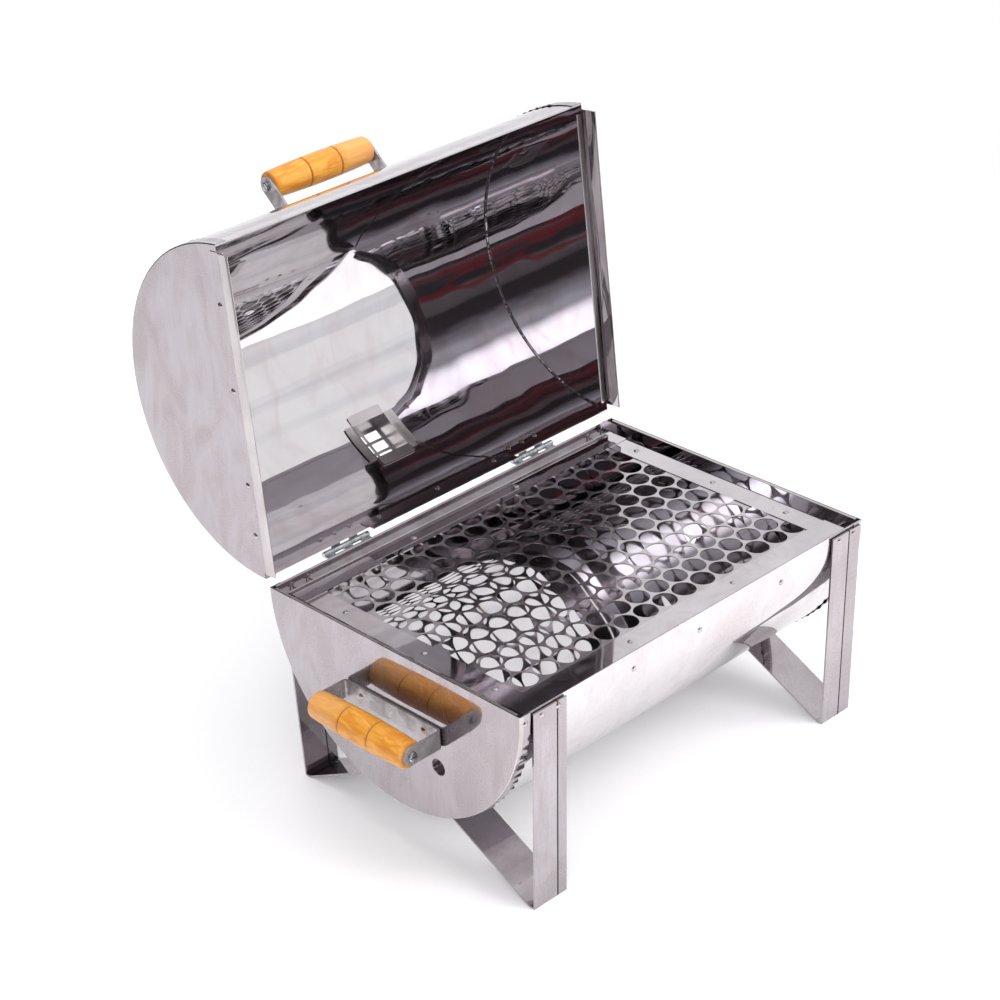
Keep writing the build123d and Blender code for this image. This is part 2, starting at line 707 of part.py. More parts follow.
build_trough()
build_legs()
build_handle("left", end_handle_place(-1))
build_handle("right", end_handle_place(1))
build_grate()

# The origin is on the ground, under the middle of the open barbecue's box.
boxes = [shape.bounding_box() for shape in nodes.values()]
middle_y = (min(box.min.Y for box in boxes) + max(box.max.Y for box in boxes)) / 2
print("middle_y", round(middle_y, 4))
for name, shape in nodes.items():
    export_step(Pos(0, -middle_y, rim_height) * shape, "parts/" + name + ".step")
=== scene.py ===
import json
import math
import random

import bmesh
import bpy
import numpy as np
from mathutils import Matrix, Vector, geometry, noise


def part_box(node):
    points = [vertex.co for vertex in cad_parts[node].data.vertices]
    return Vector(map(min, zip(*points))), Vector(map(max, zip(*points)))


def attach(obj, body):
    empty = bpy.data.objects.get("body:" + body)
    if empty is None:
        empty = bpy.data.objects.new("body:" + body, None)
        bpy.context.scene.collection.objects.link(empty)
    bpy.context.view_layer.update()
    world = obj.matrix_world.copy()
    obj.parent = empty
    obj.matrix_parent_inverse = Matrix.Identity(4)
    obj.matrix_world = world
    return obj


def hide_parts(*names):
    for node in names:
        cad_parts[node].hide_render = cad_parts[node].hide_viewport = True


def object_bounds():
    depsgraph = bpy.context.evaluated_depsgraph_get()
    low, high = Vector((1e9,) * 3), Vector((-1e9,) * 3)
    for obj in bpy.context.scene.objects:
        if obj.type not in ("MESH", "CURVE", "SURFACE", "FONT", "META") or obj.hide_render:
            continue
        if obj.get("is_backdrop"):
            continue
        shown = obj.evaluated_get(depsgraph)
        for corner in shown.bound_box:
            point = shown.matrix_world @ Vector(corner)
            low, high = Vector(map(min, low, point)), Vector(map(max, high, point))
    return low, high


# A portable barrel charcoal barbecue in polished stainless sheet, standing open on a pale floor.
# The thin skins and end plates are rebuilt here as real sheet: slightly dented, with crimped flanges.

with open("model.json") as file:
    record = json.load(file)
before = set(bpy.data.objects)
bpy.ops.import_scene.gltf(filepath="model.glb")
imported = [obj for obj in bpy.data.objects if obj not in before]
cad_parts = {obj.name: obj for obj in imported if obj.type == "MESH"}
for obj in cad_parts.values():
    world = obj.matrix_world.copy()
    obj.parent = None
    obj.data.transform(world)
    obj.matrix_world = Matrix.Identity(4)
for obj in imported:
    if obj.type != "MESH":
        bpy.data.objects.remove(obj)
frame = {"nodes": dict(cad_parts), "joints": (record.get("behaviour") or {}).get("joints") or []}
cad_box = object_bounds()

# Lengths are in metres and angles in radians, except the camera's.
SHEET = 0.0008             # thickness of the skins and plates
TOUCH = 0.00002            # air between sheets that bear on each other
DENT = 0.0004              # deepest dent in a skin
PLATE_DENT = 1.6           # how much deeper the flat end plates dent
CREASE = math.radians(35)  # sharper edges are shown sharp

# Dents set in between each pair of distances from an edge or a hole.
CALM_AT_OPENING = (0.03, 0.07)
CALM_AT_ENDS = (0.018, 0.05)
CALM_AT_RIM = (0.006, 0.05)
CALM_AT_HOLE = (0.004, 0.02)

# Skins.
SKIN_ROWS = 144            # round the half barrel
SKIN_COLUMNS = 72          # along it
SKIN_HEM = 0.010           # the lid's front edge, doubled
SKIN_HEM_STEP = 0.0006     # over which that edge thickens

# End plates and their crimped flanges.
ARC_STEPS = 360            # round a half barrel, fine enough for the pleats
PLATE_SPACING = 0.012      # between the points that carry a flat plate's dents
HOLE_STEPS = 32            # round an air hole
CORNER = 0.001             # bend radius between an end plate and its flange
BEND_SHADING = 0.0006      # how far a bend's rounded shading runs into the flat plate
FLANGE = 0.0138            # width of the crimped flange over the skin
BEND_ANGLES = (0.5, 1.05, math.pi / 2)
FLANGE_SHARES = (0.3, 0.6, 0.85, 1.0)    # of the flange's width, where its cut has points
PLEAT_PITCH = 0.0115       # along the flange
PLEAT_HEIGHT = 0.0021
PLEATS_START = (0.015, 0.05)    # pleats rise between these distances from a flange's ends
END_HEM = 0.0035           # trough end plates' edge, folded inwards
LID_END_HEM = 0.0075       # and the lid end plates'
HEM_GROOVE = 0.0006        # between a plate and its folded edge
AIR_HOLE_SPAN = 0.02       # wider than an air hole, and clear of the holes beside it
NEAR_OPENING = 0.02        # a plate's points this near its straight edge belong to that edge
NEAR_RIM = 0.004           # and this near its round edge to that one
LEG_PRESS = 0.16           # radians of flange that a leg presses flat below the rim
TAB_FROM = 0.06            # radians from the bottom where a leg's inner tab starts
TAB_TO = 0.34              # and where it ends

# Lid lips, weld beads and vent duct.
LIP_HEM = 0.0145           # rolled free edge of a lid lip
LIP_BOW = 0.0005           # how far a lip bows outwards
LIP_STATIONS = 61          # along it
BEAD = 0.0013              # radius of the weld beads inside the lid
BEAD_STEPS = 420
BEAD_SIDES = 8
BEAD_START = 6             # steps left bare at either end of a bead
TAB_LIFT = 0.0009          # vent duct's tabs, off the lid's skin
TAB_SHARES = (0.25, 0.5, 0.75, 0.92, 1.0)    # of a tab's width, where its cut has points

# Which of a sheet piece's materials a face shows.
# The third kind is painted shade: near-black, for the bottoms of grooves and fold steps.
OUTSIDE, INSIDE, PAINTED_SHADE, WORKED = range(4)

# Grips and legs.
GROOVE_AT = 0.021          # burnt grooves, from the middle of a grip
GROOVE_HALF = 0.0014
LEFT_SEAM = 0.00975        # the fold's seam, from the middle of a left-hand leg
RIGHT_SEAM = 0.00425       # and of a right-hand leg
LEG_LEAN = 0.0461          # tangent of a leg's lean


# --- The frame's own sizes --------------------------------------------------------------------------------

hinge = next(joint for joint in frame["joints"] if joint["name"] == "lid_hinge")
hinge_point = Vector(hinge["pos_m"])
open_angle = math.radians(hinge["range_deg"][1])
OPENING = (
    Matrix.Translation(hinge_point) @ Matrix.Rotation(-open_angle, 4, "X") @ Matrix.Translation(-hinge_point)
)
SHUTTING = OPENING.inverted()


class Barrel:
    """A half cylinder about X: its axis, radius and ends, read from a CAD skin's points.

    to_build turns those points so that the opening is level, and to_row turns points back to where the skin
    rests. side is 1 for a barrel above its opening and -1 for one below it."""

    def __init__(self, node, to_build, to_row, side):
        points = np.array([to_build @ v.co for v in frame["nodes"][node].data.vertices])
        low = points.min(0)
        high = points.max(0)
        half_chord = (high[1] - low[1]) / 2
        depth = high[2] - low[2]
        self.to_row = to_row
        self.side = side
        self.radius = (half_chord ** 2 + depth ** 2) / (2 * depth)
        self.axis_y = (low[1] + high[1]) / 2
        self.edge_z = low[2] if side > 0 else high[2]
        self.axis_z = self.edge_z + side * (depth - self.radius)
        self.low_x = low[0]
        self.high_x = high[0]

    def angles(self, radius, steps):
        """Angles from +Y towards +Z, from one edge of the opening to the other."""
        lift = math.asin((self.edge_z - self.axis_z) / radius)
        turns = np.linspace(lift, math.pi - lift, steps + 1)
        if self.side < 0:
            turns = np.linspace(math.pi - lift, 2 * math.pi + lift, steps + 1)
        return turns

    def point(self, x, radius, angle):
        """A point given about the barrel's axis, in the row's frame."""
        y = self.axis_y + radius * math.cos(angle)
        z = self.axis_z + radius * math.sin(angle)
        return self.to_row @ Vector((x, y, z))


trough = Barrel("trough_skin", Matrix.Identity(4), Matrix.Identity(4), -1)
lid = Barrel("lid_skin", SHUTTING, OPENING, 1)


# --- Mesh building ----------------------------------------------------------------------------------------


def new_piece(name, vertices, faces, body, materials, face_materials=None):
    """A closed sheet-metal mesh that rides on a body, smooth except across edges sharper than CREASE."""
    mesh = bpy.data.meshes.new(name)
    mesh.from_pydata([tuple(v) for v in vertices], [], faces)
    for material in materials:
        mesh.materials.append(material)
    if face_materials is not None:
        mesh.polygons.foreach_set("material_index", face_materials)
    work = bmesh.new()
    work.from_mesh(mesh)
    bmesh.ops.recalc_face_normals(work, faces=work.faces)
    for face in work.faces:
        face.smooth = True
    for edge in work.edges:
        edge.smooth = edge.calc_face_angle(math.pi) < CREASE
    work.to_mesh(mesh)
    work.free()
    piece = bpy.data.objects.new(name, mesh)
    bpy.context.scene.collection.objects.link(piece)
    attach(piece, body)
    return piece


def shell(outer, inner, kept):
    """A sheet between two grids of points, with a rim round every opening.

    kept[i][j] says whether the cell from (i, j) to (i + 1, j + 1) is solid. Returns vertices, faces and each
    face's material: OUTSIDE there and on the rims, INSIDE within."""
    rows = len(outer)
    columns = len(outer[0])
    count = rows * columns
    vertices = [p for row in outer for p in row] + [p for row in inner for p in row]
    faces = []
    kinds = []
    sides = {}
    for i in range(rows - 1):
        for j in range(columns - 1):
            if not kept[i][j]:
                continue
            ring = (i * columns + j, i * columns + j + 1, (i + 1) * columns + j + 1, (i + 1) * columns + j)
            faces.append(ring)
            kinds.append(OUTSIDE)
            faces.append(tuple(v + count for v in reversed(ring)))
            kinds.append(INSIDE)
            for start, end in zip(ring, ring[1:] + ring[:1]):
                sides[(start, end)] = True
    for start, end in sides:
        if (end, start) not in sides:
            faces.append((end, start, start + count, end + count))
            kinds.append(OUTSIDE)
    used = sorted({v for face in faces for v in face})
    places = {v: n for n, v in enumerate(used)}
    return [vertices[v] for v in used], [tuple(places[v] for v in face) for face in faces], kinds


def fade(value, start, end):
    """0 up to start, 1 from end on, smooth between."""
    share = min(1.0, max(0.0, (value - start) / (end - start)))
    return share * share * (3 - 2 * share)


def dent(place, seed):
    """How far a sheet sinks at a place: broad shallow dents, always inwards."""
    broad = noise.noise(place * 11 + Vector((seed, 0, 0)))
    small = noise.noise(place * 27 + Vector((0, seed, 0)))
    return DENT * min(1.0, max(0.0, 0.55 + 0.8 * broad + 0.35 * small))


def spaced(low, high, steps, extra=()):
    """Evenly spaced values with a few exact ones put in place of their nearest neighbours."""
    values = list(np.linspace(low, high, steps + 1))
    for value in extra:
        inside = range(1, len(values) - 1)
        nearest = min(inside, key=lambda n: abs(values[n] - value))
        values[nearest] = value
    return values


def skin_piece(name, node, barrel, body, seed, hem=0.0, window=None):
    """A half-cylinder skin. hem doubles its far edge; window is (x, angle) limits of a cut-out."""
    edge = barrel.angles(barrel.radius, 2)
    x_cuts = window[0] if window else ()
    angle_cuts = list(window[1]) if window else []
    if hem:
        last = edge[2] - hem / barrel.radius
        angle_cuts += [last, last - SKIN_HEM_STEP / barrel.radius]
    xs = spaced(barrel.low_x, barrel.high_x, SKIN_COLUMNS, x_cuts)
    turns = sorted(set(spaced(edge[0], edge[2], SKIN_ROWS)) | set(angle_cuts))
    outer = []
    inner = []
    for angle in turns:
        calm = min(angle - edge[0], edge[2] - angle) * barrel.radius
        doubled = SHEET if hem and angle > last - 1e-9 else 0.0
        outer_row = []
        inner_row = []
        for x in xs:
            ends = min(x - barrel.low_x, barrel.high_x - x)
            mask = fade(calm, *CALM_AT_OPENING) * fade(ends, *CALM_AT_ENDS)
            sink = mask * dent(Vector((x, barrel.radius * angle, 0)), seed)
            outer_row.append(barrel.point(x, barrel.radius - sink, angle))
            inner_row.append(barrel.point(x, barrel.radius - SHEET - doubled - sink, angle))
        outer.append(outer_row)
        inner.append(inner_row)

    def solid(i, j):
        if window is None:
            return True
        x = (xs[j] + xs[j + 1]) / 2
        angle = (turns[i] + turns[i + 1]) / 2
        inside_x = window[0][0] < x < window[0][1]
        return not (inside_x and window[1][0] < angle < window[1][1])

    kept = [[solid(i, j) for j in range(len(xs) - 1)] for i in range(len(turns) - 1)]
    vertices, faces, kinds = shell(outer, inner, kept)
    piece = new_piece(name, vertices, faces, body, [skin_steel, inside_steel], kinds)
    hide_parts(node)


def flat_triangles(outline, beside, holes, rng):
    """Triangles that fill a convex outline round its holes, with loose points inside to carry dents.

    beside holds points just inside the outline, which keep the bend's shading at the bend."""
    points = [Vector(p) for p in outline]
    edges = [(n, (n + 1) % len(outline)) for n in range(len(outline))]
    for centre, radius in holes:
        first = len(points)
        for n in range(HOLE_STEPS):
            turn = 2 * math.pi * n / HOLE_STEPS
            points.append(centre + Vector((radius * math.cos(turn), radius * math.sin(turn))))
            edges.append((first + n, first + (n + 1) % HOLE_STEPS))
    points += beside
    middle = sum(points[: len(outline)], Vector((0, 0))) / len(outline)
    low = Vector((min(p.x for p in points), min(p.y for p in points)))
    high = Vector((max(p.x for p in points), max(p.y for p in points)))
    inset = [middle + (p - middle) * 0.95 for p in points[: len(outline)]]
    steps_u = int((high.x - low.x) / PLATE_SPACING)
    steps_v = int((high.y - low.y) / PLATE_SPACING)
    for i in range(steps_u + 1):
        for j in range(steps_v + 1):
            loose = Vector((low.x + i * PLATE_SPACING, low.y + j * PLATE_SPACING))
            loose += Vector((rng.uniform(-0.3, 0.3), rng.uniform(-0.3, 0.3))) * PLATE_SPACING
            clear = all((loose - c).length > r + PLATE_SPACING / 2 for c, r in holes)
            if clear and inside_convex(loose, inset):
                points.append(loose)
    found = geometry.delaunay_2d_cdt(points, edges, [], 0, 1e-7)
    triangles = []
    for face in found[2]:
        centre = sum((found[0][v] for v in face), Vector((0, 0))) / 3
        if all((centre - c).length > r for c, r in holes):
            triangles.append(tuple(face))
    return found[0], triangles


def inside_convex(point, outline):
    """Whether a point is inside a convex outline, listed either way round."""
    signs = set()
    for start, end in zip(outline, outline[1:] + outline[:1]):
        run = end - start
        cross = run.x * (point.y - start.y) - run.y * (point.x - start.x)
        signs.add(cross > 0)
    return len(signs) == 1


def pleat_heights(radius, turns, seed, pleat, flat_spans):
    """Outward height of the crimp at each angle. flat_spans are angles that a leg's strip presses flat."""
    rng = random.Random(seed)
    pitch = PLEAT_PITCH / radius
    sizes = [rng.uniform(0.25, 1.0) for _ in range(int(math.pi / pitch) + 4)]
    heights = []
    for angle in turns:
        along = (angle - turns[0]) / pitch + 0.5 + 0.45 * noise.noise(Vector((angle * 5, seed, 7)))
        size = sizes[int(along)]
        wave = 0.5 - 0.5 * math.cos(2 * math.pi * along)
        edge = min(angle - turns[0], turns[-1] - angle) * radius
        mask = fade(edge, *PLEATS_START)
        for low, high in flat_spans:
            mask *= max(fade(low - angle, 0, 0.05), fade(angle - high, 0, 0.05))
        heights.append(pleat * size * mask * wave ** 1.4)
    return heights


def plate_sheet(flat, triangles, sinks, arc, place):
    """The flat part of an end plate, open along its arc, where the bend starts.

    flat holds (u, v) points, the arc's first, and sinks how deep each lies behind the plate's outer face."""
    vertices = [place(sink, p.x, p.y) for p, sink in zip(flat, sinks)]
    vertices += [place(sink + SHEET, p.x, p.y) for p, sink in zip(flat, sinks)]
    faces = []
    kinds = []
    count = len(flat)
    border = {}
    for face in triangles:
        faces.append(face)
        kinds.append(OUTSIDE)
        faces.append(tuple(v + count for v in reversed(face)))
        kinds.append(INSIDE)
        for start, end in zip(face, face[1:] + face[:1]):
            border[(start, end)] = True
    for start, end in border:
        on_arc = start < arc and end < arc and abs(start - end) == 1
        if (end, start) not in border and not on_arc:
            faces.append((end, start, start + count, end + count))
            kinds.append(OUTSIDE)
    return vertices, faces, kinds


def flange_path(lift, reach, inner):
    """One cut through the bend and the flange, as (depth, radius): out along the outside, back inside."""
    outer = inner + SHEET
    rim = outer - CORNER
    path = [(CORNER * (1 - math.cos(a)), rim + CORNER * math.sin(a)) for a in BEND_ANGLES]
    for share in FLANGE_SHARES:
        path.append((CORNER + (reach - CORNER) * share, outer + lift * share ** 1.2))
    for share in reversed(FLANGE_SHARES):
        path.append((CORNER + (reach - CORNER) * share, inner + lift * share ** 1.2))
    path.append((SHEET + TOUCH, inner))
    return path


def add_flange(vertices, faces, kinds, turns, paths, back, place, centre):
    """The bend and the crimped flange, joined to the plate's arc.

    back is how many vertices on from a point of the outer face its twin on the inner face is."""
    first = len(vertices)
    size = len(paths[0])
    for angle, path in zip(turns, paths):
        for depth, radius in path:
            vertices.append(place(depth, radius * math.cos(angle), centre + radius * math.sin(angle)))

    def ring(n):
        return [n] + [first + n * size + k for k in range(size)] + [n + back]

    last = len(turns) - 1
    bend = len(BEND_ANGLES) + 1
    sheen = [WORKED] * bend + [OUTSIDE] * (size - 1 - bend) + [INSIDE] * 2
    for n in range(last):
        this = ring(n)
        after = ring(n + 1)
        for k in range(size + 1):
            faces.append((this[k], this[k + 1], after[k + 1], after[k]))
            kinds.append(sheen[k])
    faces.append(tuple(ring(0)))
    faces.append(tuple(reversed(ring(last))))
    kinds += [OUTSIDE, OUTSIDE]


def end_plate_piece(name, node, barrel, side, seed, pleat, hem, holes=(), flat_spans=()):
    """An end plate: dented sheet, a bend, and a crimped flange folded over the outside of the skin."""
    low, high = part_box(node)
    face_x = high.x if side > 0 else low.x
    flange_inner = barrel.radius + TOUCH
    flange_outer = flange_inner + SHEET
    rim = flange_outer - CORNER
    turns = barrel.angles(rim, ARC_STEPS)
    arc = len(turns)
    centre = barrel.axis_z - barrel.edge_z
    outline = [Vector((rim * math.cos(t), centre + rim * math.sin(t))) for t in turns]
    outline += [outline[-1].lerp(outline[0], 0.003), outline[0].lerp(outline[-1], 0.003)]
    near_rim = rim - BEND_SHADING
    beside = [Vector((near_rim * math.cos(t), centre + near_rim * math.sin(t))) for t in turns[1:-1]]
    flat, triangles = flat_triangles(outline, beside, holes, random.Random(seed))

    def place(depth, u, v):
        """A point a depth behind the outer face, at (u, v) from the middle of the opening's edge."""
        return barrel.to_row @ Vector((face_x - side * depth, barrel.axis_y + u, barrel.edge_z + v))

    def sink(p):
        from_edges = min(rim - math.hypot(p.x, p.y - centre), abs(p.y))
        from_holes = min([(p - c).length - r for c, r in holes] + [1.0])
        mask = fade(from_edges, *CALM_AT_RIM) * fade(from_holes, *CALM_AT_HOLE)
        return mask * PLATE_DENT * dent(Vector((p.x, p.y, side)), seed)

    sinks = [0 if n < arc else sink(p) for n, p in enumerate(flat)]
    vertices, faces, kinds = plate_sheet(flat, triangles, sinks, arc, place)
    lifts = pleat_heights(flange_outer, turns, seed, pleat, flat_spans)
    widths = [FLANGE * (1 + 0.05 * noise.noise(Vector((angle * 40, seed, 0)))) for angle in turns]
    paths = [flange_path(lift, width, flange_inner) for lift, width in zip(lifts, widths)]
    add_flange(vertices, faces, kinds, turns, paths, len(flat), place, centre)
    add_hem(vertices, faces, kinds, place, rim - 1.4 * hem, hem, barrel.side)
    body = "trough" if barrel is trough else "lid"
    sheet = [plate_steel, inside_steel, painted_seam_shade, worked_steel]
    piece = new_piece(name, vertices, faces, body, sheet, kinds)
    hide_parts(node)


def add_hem(vertices, faces, kinds, place, reach, hem, side):
    """The plate's straight edge, folded inwards: a bar with a rounded corner and a groove at its root."""
    start = len(vertices)
    inside = SHEET * 0.98
    thick = SHEET * side
    root = inside + HEM_GROOVE
    profile = [
        (inside, thick * 0.85), (root, thick * 0.85), (inside + HEM_GROOVE * 1.2, 0), (hem, 0),
        (hem + SHEET, thick * 0.3), (hem + SHEET, thick), (inside, thick),
    ]
    for u in (-reach, reach):
        vertices.extend(place(depth, u, v) for depth, v in profile)
    size = len(profile)
    for k in range(size):
        after = (k + 1) % size
        faces.append((start + k, start + after, start + size + after, start + size + k))
        # The groove's two faces are painted near-black, as the shade in it.
        kinds.append(PAINTED_SHADE if k < 2 else WORKED)
    faces.append(tuple(range(start + size - 1, start - 1, -1)))
    faces.append(tuple(range(start + size, start + 2 * size)))
    kinds += [OUTSIDE, OUTSIDE]


def lip_piece(name, node, side, seed):
    """A lip along a lid end: sheet with its free edge rolled back into a hem."""
    points = np.array([SHUTTING @ v.co for v in frame["nodes"][node].data.vertices])
    low = points.min(0)
    high = points.max(0)
    face_x = low[0] if side > 0 else high[0]
    top = high[2]
    foot = low[2]
    fold = foot + LIP_HEM
    profile = [
        (0, top), (SHEET, top), (SHEET, fold + 0.0004), (SHEET * 1.8, fold), (SHEET * 2.5, fold - 0.0009),
        (SHEET * 2.8, fold - 0.0025), (SHEET * 2.8, foot + 0.0025), (SHEET * 2.4, foot + 0.0009),
        (SHEET * 1.5, foot), (SHEET * 0.6, foot + 0.0002), (0, foot + 0.0012),
    ]
    vertices = []
    faces = []
    kinds = []
    size = len(profile)
    # The step at the fold is painted near-black, as the shade in that crease.
    sheen = [OUTSIDE, OUTSIDE, PAINTED_SHADE] + [WORKED] * (size - 4) + [INSIDE]
    for y in np.linspace(low[1], high[1], LIP_STATIONS):
        wave = LIP_BOW * max(0.0, noise.noise(Vector((y * 17, seed, 1))))
        for out, z in profile:
            bow = wave * fade(top - z, 0.004, 0.012)
            vertices.append(OPENING @ Vector((face_x + side * (out + bow), y, z)))
    for n in range(LIP_STATIONS - 1):
        for k in range(size):
            after = (k + 1) % size
            faces.append((n * size + k, n * size + after, (n + 1) * size + after, (n + 1) * size + k))
            kinds.append(sheen[k])
    faces.append(tuple(range(size)))
    faces.append(tuple(reversed(range(len(vertices) - size, len(vertices)))))
    kinds += [OUTSIDE, OUTSIDE]
    sheet = [plate_steel, inside_steel, painted_seam_shade, worked_steel]
    piece = new_piece(name, vertices, faces, "lid", sheet, kinds)
    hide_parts(node)


def weld_bead(name, side, seed):
    """A lumpy bead in the corner between a lid end plate and the skin."""
    corner_x = lid.high_x - BEAD * 0.4 if side > 0 else lid.low_x + BEAD * 0.4
    corner_radius = lid.radius - SHEET - BEAD * 0.4
    turns = lid.angles(lid.radius, BEAD_STEPS)[BEAD_START:-BEAD_START]
    vertices = []
    faces = []
    for n, angle in enumerate(turns):
        lump = 0.75 + 0.35 * noise.noise(Vector((angle * 60, seed, 0)))
        lump += 0.9 * max(0, noise.noise(Vector((angle * 9, seed, 3))) - 0.25)
        end = min(n, len(turns) - 1 - n)
        size = BEAD * lump * min(1.0, 0.2 + end / 8)
        for k in range(BEAD_SIDES):
            turn = 2 * math.pi * k / BEAD_SIDES
            x = corner_x + size * math.cos(turn)
            vertices.append(lid.point(x, corner_radius + size * math.sin(turn), angle))
    for n in range(len(turns) - 1):
        for k in range(BEAD_SIDES):
            after = (k + 1) % BEAD_SIDES
            low = n * BEAD_SIDES
            high = low + BEAD_SIDES
            faces.append((low + k, low + after, high + after, high + k))
    faces.append(tuple(range(BEAD_SIDES)))
    faces.append(tuple(reversed(range(len(vertices) - BEAD_SIDES, len(vertices)))))
    new_piece(name, vertices, faces, "lid", [bead_steel])


# --- Materials --------------------------------------------------------------------------------------------


class Surface:
    """A material being built from nodes. Values may be numbers, colours or another node's output."""

    def __init__(self, name):
        self.material = bpy.data.materials.new(name)
        self.material.use_nodes = True
        self.nodes = self.material.node_tree.nodes
        self.links = self.material.node_tree.links
        self.shader = self.nodes["Principled BSDF"]
        self.place = self.nodes.new("ShaderNodeTexCoord").outputs["Object"]

    @classmethod
    def of(cls, material):
        """Carry on building a material that already has nodes."""
        surface = cls.__new__(cls)
        surface.material = material
        surface.nodes = material.node_tree.nodes
        surface.links = material.node_tree.links
        surface.place = surface.nodes.new("ShaderNodeTexCoord").outputs["Object"]
        return surface

    def second_shader(self):
        return self.nodes.new("ShaderNodeBsdfPrincipled")

    def blend_shaders(self, share, other):
        """Show the main shader by a share and the other shader by the rest."""
        node = self.nodes.new("ShaderNodeMixShader")
        self.set(node.inputs[0], share)
        self.links.new(other.outputs[0], node.inputs[1])
        self.links.new(self.shader.outputs[0], node.inputs[2])
        self.links.new(node.outputs[0], self.nodes["Material Output"].inputs["Surface"])

    def set(self, socket, value):
        if isinstance(value, bpy.types.NodeSocket):
            self.links.new(value, socket)
        elif hasattr(value, "__len__") and len(value) == 3 and socket.type == "RGBA":
            socket.default_value = (*value, 1)
        else:
            socket.default_value = value

    def look(self, **values):
        """Set inputs of the main shader, such as base_color=..."""
        for name, value in values.items():
            title = name.replace("_", " ").title().replace("Ior", "IOR")
            self.set(self.shader.inputs[title], value)

    def math(self, operation, first, second=0.0):
        node = self.nodes.new("ShaderNodeMath")
        node.operation = operation
        self.set(node.inputs[0], first)
        self.set(node.inputs[1], second)
        return node.outputs[0]

    def stretched(self, factors, origin=(0, 0, 0)):
        """The place, measured from an origin and scaled along each axis."""
        shift = self.nodes.new("ShaderNodeVectorMath")
        shift.operation = "SUBTRACT"
        self.set(shift.inputs[0], self.place)
        shift.inputs[1].default_value = origin
        scale = self.nodes.new("ShaderNodeVectorMath")
        scale.operation = "MULTIPLY"
        self.links.new(shift.outputs[0], scale.inputs[0])
        scale.inputs[1].default_value = factors
        return scale.outputs[0]

    def axis(self, vector, index):
        node = self.nodes.new("ShaderNodeSeparateXYZ")
        self.links.new(vector, node.inputs[0])
        return node.outputs[index]

    def noise(self, scale, detail=3.0, rough=0.5, warp=0.0, place=None):
        node = self.nodes.new("ShaderNodeTexNoise")
        self.set(node.inputs["Vector"], place or self.place)
        node.inputs["Scale"].default_value = scale
        node.inputs["Detail"].default_value = detail
        node.inputs["Roughness"].default_value = rough
        node.inputs["Distortion"].default_value = warp
        return node.outputs["Fac"]

    def speckle(self, scale):
        """A random value for each cell about 1 / scale metres across."""
        node = self.nodes.new("ShaderNodeTexVoronoi")
        self.set(node.inputs["Vector"], self.place)
        node.inputs["Scale"].default_value = scale
        return self.axis(node.outputs["Color"], 0)

    def ramp(self, value, low, high, low_out=0.0, high_out=1.0):
        node = self.nodes.new("ShaderNodeMapRange")
        node.interpolation_type = "SMOOTHSTEP"
        self.set(node.inputs["Value"], value)
        node.inputs["From Min"].default_value = low
        node.inputs["From Max"].default_value = high
        node.inputs["To Min"].default_value = low_out
        node.inputs["To Max"].default_value = high_out
        return node.outputs["Result"]

    def mix(self, share, first, second):
        node = self.nodes.new("ShaderNodeMix")
        node.data_type = "RGBA"
        self.set(node.inputs["Factor"], share)
        colours = [socket for socket in node.inputs if socket.type == "RGBA"]
        self.set(colours[0], first)
        self.set(colours[1], second)
        return next(socket for socket in node.outputs if socket.type == "RGBA")

    def bump(self, height, distance, strength=1.0, under=None):
        node = self.nodes.new("ShaderNodeBump")
        node.inputs["Strength"].default_value = strength
        node.inputs["Distance"].default_value = distance
        self.set(node.inputs["Height"], height)
        if under is not None:
            self.links.new(under, node.inputs["Normal"])
        return node.outputs[0]


def steel(name, tone, stain, clear, hazy, cloud, wave, lines):
    """Stainless sheet: a mirror under a cloudy haze, with broad waves, rolling lines and fine scratches.

    clear and hazy are the share of haze in the clean and the smudged places, cloud the haze's roughness,
    wave the height of the waves in metres and lines the strength of the fine lines."""
    s = Surface(name)
    clouds = s.noise(6, detail=3, rough=0.5, warp=1.3)
    smears = s.noise(1, detail=3, rough=0.5, warp=1.2, place=s.stretched((26, 26, 12)))
    smudge = s.ramp(s.math("MULTIPLY", s.math("ADD", clouds, smears), 0.5), 0.32, 0.70)
    fine = s.noise(1, detail=2, place=s.stretched((30, 900, 900)))
    cross = s.noise(1, detail=2, place=s.stretched((700, 700, 25)))
    rub = s.math("MULTIPLY", s.math("ADD", fine, cross), 0.5)
    colour = s.mix(smudge, tone, stain)
    colour = s.mix(s.ramp(clouds, 0.46, 0.74, 0, 0.3), colour, tuple(0.86 * c for c in stain))
    brown = (stain[0] * 0.97, stain[1] * 0.89, stain[2] * 0.84)
    colour = s.mix(s.ramp(smears, 0.50, 0.75, 0, 0.4), colour, brown)
    colour = s.mix(s.ramp(cross, 0.55, 0.72, 0, 0.16 * lines), colour, tuple(0.7 * c for c in stain))
    waves = s.bump(s.noise(7, detail=1), wave)
    scratches = s.bump(rub, 0.000006 * lines, under=waves)
    haze = s.ramp(smudge, 0, 1, clear, hazy)
    haze = s.math("ADD", haze, s.ramp(rub, 0.45, 0.65, 0, 0.08 * lines))
    s.look(metallic=1.0, base_color=colour, roughness=cloud, normal=scratches)
    mirror = s.second_shader()
    s.set(mirror.inputs["Metallic"], 1.0)
    s.set(mirror.inputs["Base Color"], colour)
    s.set(mirror.inputs["Roughness"], s.ramp(smudge, 0, 1, 0.012, 0.05))
    s.set(mirror.inputs["Normal"], waves)
    s.blend_shaders(haze, mirror)
    return s.material


